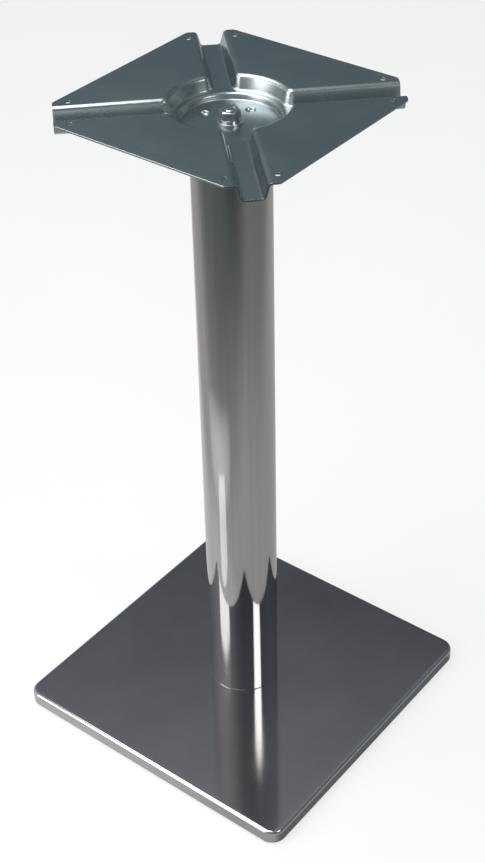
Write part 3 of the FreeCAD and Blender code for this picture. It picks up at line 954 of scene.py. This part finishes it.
def lightPool(tree, place, kit):
    # an oval of light on the floor, to the left of the leg
    fromPool = vectors(tree, "SUBTRACT", place, kit["place"])
    lengthways = sums(tree, "DIVIDE", along(tree, fromPool, kit["way"]), kit["length"])
    widthways = sums(tree, "DIVIDE", along(tree, fromPool, kit["across"]), kit["width"])
    return tint(tree, distance(tree, lengthways, widthways), *kit["colours"])


farKit = {"start": 1.4, "end": 2.4, "level": (0.95, 0.92, 0.93)}


def farLight(tree, place, kit):
    # a bright far left side
    farLeft = spread(tree, along(tree, place, westWay), 0, 1, kit["start"], kit["end"])
    return tint(tree, farLeft, (0, black), (1, kit["level"]))


shadeKit = {"place": 0.181, "half": 0.006, "length": 0.165, "reach": 0.010,
            "colours": ((0.0, (0.42, 0.42, 0.43)), (0.010, (1, 1, 1)))}


def besideBase(tree, place, kit):
    # the narrow shade of the base on its right side
    across = sums(tree, "SUBTRACT", along(tree, place, eastWay), kit["place"])
    outside = sums(tree, "SUBTRACT", sums(tree, "ABSOLUTE", across), kit["half"])
    lengthways = sums(tree, "ABSOLUTE", along(tree, place, southWay))
    past = sums(tree, "SUBTRACT", lengthways, kit["length"])
    return graded(tree, outsideOf(tree, outside, past), kit["reach"], kit["colours"])


def floorShade(tree, place):
    # painted light and shade of the floor, seen only in mirrors and bounced light
    lit = paintedFalloffShade(tree, place, falloffShadeKit)
    for light in (whiteSheetAndPaintedFade(tree, place, sheetAndPaintedFadeKit), lightPool(tree, place, poolKit),
                  farLight(tree, place, farKit)):
        lit = blended(tree, "LIGHTEN", lit, light)
    return blended(tree, "MULTIPLY", lit, besideBase(tree, place, shadeKit))


floorKit = {"size": 30, "drop": 0.0002, "plain": (0.985, 0.985, 0.98), "glow": 0.76, "mirrorGlow": 0.65,
            "grain": (3, 4, 0.6), "grainLift": (0.985, 1.0), "rough": 0.8, "specular": 0.2}


def makeFloor(kit):
    # plain pale paper to the camera; mirrored in the metal and in bounced light it carries painted light and
    # shade, white by the leg and greyer further off
    clearSelection()
    bpy.ops.mesh.primitive_plane_add(size=kit["size"], location=(0, 0, -kit["drop"]))
    floor = keepPrimitive("floor")
    finish, tree, shader, place = startFinish("whitePaperWithPaintedShade")
    grain = spread(tree, noise(tree, place, *kit["grain"]), *kit["grainLift"])
    shade = seenDirectly(tree, floorShade(tree, place), kit["plain"])
    # the paper colour carries the painted light and shade to mirrors and bounced light
    paper = vectors(tree, "MULTIPLY", shade, grain)
    feed(tree, paper, shader.inputs["Base Color"])
    shader.inputs["Roughness"].default_value = kit["rough"]
    shader.inputs["Specular IOR Level"].default_value = kit["specular"]
    glow = tree.nodes.new("ShaderNodeEmission")
    feed(tree, paper, glow.inputs["Color"])
    rays = tree.nodes.new("ShaderNodeLightPath").outputs
    mirrored = sums(tree, "MAXIMUM", rays["Is Glossy Ray"], rays["Is Transmission Ray"])
    seen = sums(tree, "MAXIMUM", sums(tree, "MULTIPLY", rays["Is Camera Ray"], kit["glow"]),
                sums(tree, "MULTIPLY", mirrored, kit["mirrorGlow"]))
    mix = tree.nodes.new("ShaderNodeMixShader")
    feed(tree, seen, mix.inputs["Fac"])
    feed(tree, shader.outputs["BSDF"], mix.inputs[1])
    feed(tree, glow.outputs["Emission"], mix.inputs[2])
    feed(tree, mix.outputs["Shader"], tree.nodes["Material Output"].inputs["Surface"])
    floor.data.materials.append(finish)


skyKit = {
    "plain": (0.79, 0.795, 0.80), "strength": 1,
    "heights": ((0.0, (0.15, 0.17, 0.18)), (0.25, (0.12, 0.165, 0.19)), (0.36, (0.095, 0.15, 0.18)),
                (0.49, (0.187, 0.251, 0.284)), (0.60, (0.078, 0.09, 0.105)), (0.68, (0.078, 0.084, 0.096)),
                (0.78, (0.235, 0.242, 0.255)), (1.0, (0.38, 0.39, 0.40))),
    "spots": ({"azimuth": -130, "elevation": 4, "sharpness": 3.2, "level": (1.3, 1.22, 1.25)},
              {"azimuth": -52, "elevation": 6, "sharpness": 30, "level": (0.62, 0.68, 0.64)},
              {"azimuth": -51, "elevation": 45, "sharpness": 6, "level": (0.06, 0.06, 0.075)},
              {"azimuth": 165, "elevation": 45, "sharpness": 9, "level": (0.145, 0.153, 0.172)},
              {"azimuth": 45, "elevation": 45, "sharpness": 6, "level": (0.10, 0.11, 0.13)}),
}


def skyDirection(azimuth, elevation):
    azimuth, elevation = math.radians(azimuth), math.radians(elevation)
    level = math.cos(elevation)
    return (math.cos(azimuth) * level, math.sin(azimuth) * level, math.sin(elevation))


def addSpot(tree, sky, place, kit):
    # a soft bright patch of sky, strongest in one direction
    facing = along(tree, place, skyDirection(kit["azimuth"], kit["elevation"]))
    strength = sums(tree, "POWER", sums(tree, "MAXIMUM", facing, 0), kit["sharpness"])
    patch = tint(tree, strength, (0, black), (1, kit["level"]))
    return vectors(tree, "ADD", sky, patch)


def makeSky(kit):
    world = bpy.data.worlds.new("studioSky")
    scene.world = world
    world.use_nodes = True
    tree = world.node_tree
    place = tree.nodes.new("ShaderNodeTexCoord").outputs["Generated"]
    sky = tint(tree, along(tree, place, upAxis), *kit["heights"])
    for spot in kit["spots"]:
        sky = addSpot(tree, sky, place, spot)
    background = tree.nodes["Background"]
    feed(tree, seenDirectly(tree, sky, kit["plain"]), background.inputs["Color"])
    feed(tree, kit["strength"], background.inputs["Strength"])


lampKit = {
    "overhead": {"shape": "RECTANGLE", "place": (-0.4, -0.4, 2.05), "aim": (0, 0, 0.3),
                 "size": (1.5, 1.1), "power": 26, "colour": (1, 1, 1)},
    "window": {"shape": "RECTANGLE", "place": (-0.72, -1.54, 0.80), "aim": (0, 0, 0.45),
               "size": (1.0, 1.4), "power": 16, "colour": (1, 0.99, 0.98)},
    "right": {"shape": "RECTANGLE", "place": (1.55, -0.16, 1.5), "aim": (0, 0, 0.1),
              "size": (0.62, 0.5), "power": 5, "colour": (1, 0.985, 0.94)},
    "floorPanel": {"shape": "ELLIPSE", "place": (-0.1145, -0.378, 0.004), "aim": (-0.1445, -0.468, 1),
                   "size": (0.14, 0.40), "power": 0.106, "colour": (1, 0.96, 0.965)},
}


def makeLamps(kits):
    for name, kit in kits.items():
        clearSelection()
        direction = Vector(kit["aim"]) - Vector(kit["place"])
        turn = direction.to_track_quat("-Z", "Y").to_euler()
        bpy.ops.object.light_add(type="AREA", location=kit["place"], rotation=turn)
        lamp = bpy.context.object
        lamp.name = name
        lamp.data.shape = kit["shape"]
        lamp.data.size, lamp.data.size_y = kit["size"]
        lamp.data.energy = kit["power"]
        lamp.data.color = kit["colour"]
        lamp.visible_camera = False


cameraKit = {"eye": (0.81840, -1.01963, 1.33940), "azimuth": 38.563, "elevation": 36.987, "roll": -1.387,
             "lens": 66.99, "sensor": 36}


def makeCamera(kit):
    azimuth, elevation, roll = (math.radians(kit[key]) for key in ("azimuth", "elevation", "roll"))
    back = Vector((math.sin(azimuth) * math.cos(elevation), -math.cos(azimuth) * math.cos(elevation),
                   math.sin(elevation)))
    level = Vector((math.cos(azimuth), math.sin(azimuth), 0))
    upright = back.cross(level)
    right = level * math.cos(roll) + upright * math.sin(roll)
    up = upright * math.cos(roll) - level * math.sin(roll)
    clearSelection()
    bpy.ops.object.camera_add()
    camera = bpy.context.object
    camera.name = "photoCamera"
    camera.data.sensor_width = kit["sensor"]
    camera.data.lens = kit["lens"]
    turn = Matrix((right, up, back)).transposed().to_4x4()
    camera.matrix_world = Matrix.Translation(Vector(kit["eye"])) @ turn
    scene.camera = camera


makeFloor(floorKit)
makeSky(skyKit)
makeLamps(lampKit)
makeCamera(cameraKit)
scene.view_settings.view_transform = "Standard"
print("stage set")
